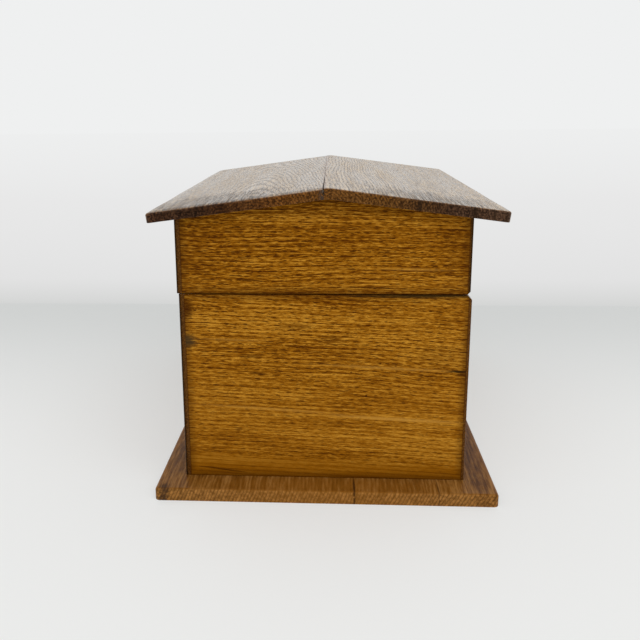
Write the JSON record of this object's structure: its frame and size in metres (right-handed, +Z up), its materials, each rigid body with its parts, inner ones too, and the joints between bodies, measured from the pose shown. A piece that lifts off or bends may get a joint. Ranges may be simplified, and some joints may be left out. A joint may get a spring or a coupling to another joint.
{
  "type": "humidor",
  "caption": "House-shaped oak cigar humidor: gabled lid hinged at the back, projecting base board, cedar lining with a standing lip, box lock and a humidifier under the lid.",
  "frame": {"origin": "centre of the underside of the base board, on the surface the box stands on", "axes": "+X along the box (the picture looks at the +X gable end), -Y to the front with the lock, +Y to the hinges, +Z up"},
  "size_m": [0.378, 0.24, 0.2175],
  "materials": {
    "oak_amber": "glossy varnish",
    "oak_brown": "worn satin varnish",
    "cedar": "planed, unfinished",
    "brass": "aged",
    "brass_screws": "aged",
    "sponge": "porous, matte"
  },
  "bodies": {
    "case": {"base_board": "oak_brown", "base_screws": "brass_screws", "case_front_board": "oak_amber", "case_back_board": "oak_amber", "case_left_end": "oak_amber", "case_right_end": "oak_amber", "case_liner_front": "cedar", "case_liner_back": "cedar", "case_liner_left": "cedar", "case_liner_right": "cedar", "case_liner_floor": "cedar", "hinge_case_leaf_left": "brass", "hinge_case_leaf_right": "brass", "hinge_pin_left": "brass", "hinge_pin_right": "brass", "hinge_case_screws": "brass_screws", "lock_case": "brass", "lock_back_plate": "brass", "lock_selvedge": "brass", "lock_screws": "brass_screws", "keyhole_escutcheon": "brass"},
    "lid": {"lid_front_board": "oak_amber", "lid_back_board": "oak_amber", "lid_left_gable": "oak_amber", "lid_right_gable": "oak_amber", "roof_front_board": "oak_brown", "roof_back_board": "oak_brown", "lid_liner_front": "cedar", "lid_liner_back": "cedar", "lid_liner_left": "cedar", "lid_liner_right": "cedar", "lid_ceiling": "cedar", "humidifier_tank": "brass", "humidifier_sponge": "sponge", "humidifier_grille": "brass", "humidifier_screws": "brass_screws", "hinge_lid_leaf_left": "brass", "hinge_lid_leaf_right": "brass", "hinge_lid_screws": "brass_screws", "link_plate": "brass", "link_screws": "brass_screws"},
    "lock_bolt": {"lock_bolt": "brass"}
  },
  "joints": [
    {"name": "lid_hinge", "type": "hinge", "parent": "case", "child": "lid", "pos_m": [0, 0.09552, 0.1447], "axis": [-1, 0, 0], "range_deg": [0, 98]},
    {"name": "bolt_slide", "type": "slide", "parent": "case", "child": "lock_bolt", "axis": [1, 0, 0], "range_m": [0, 0.005]}
  ]
}
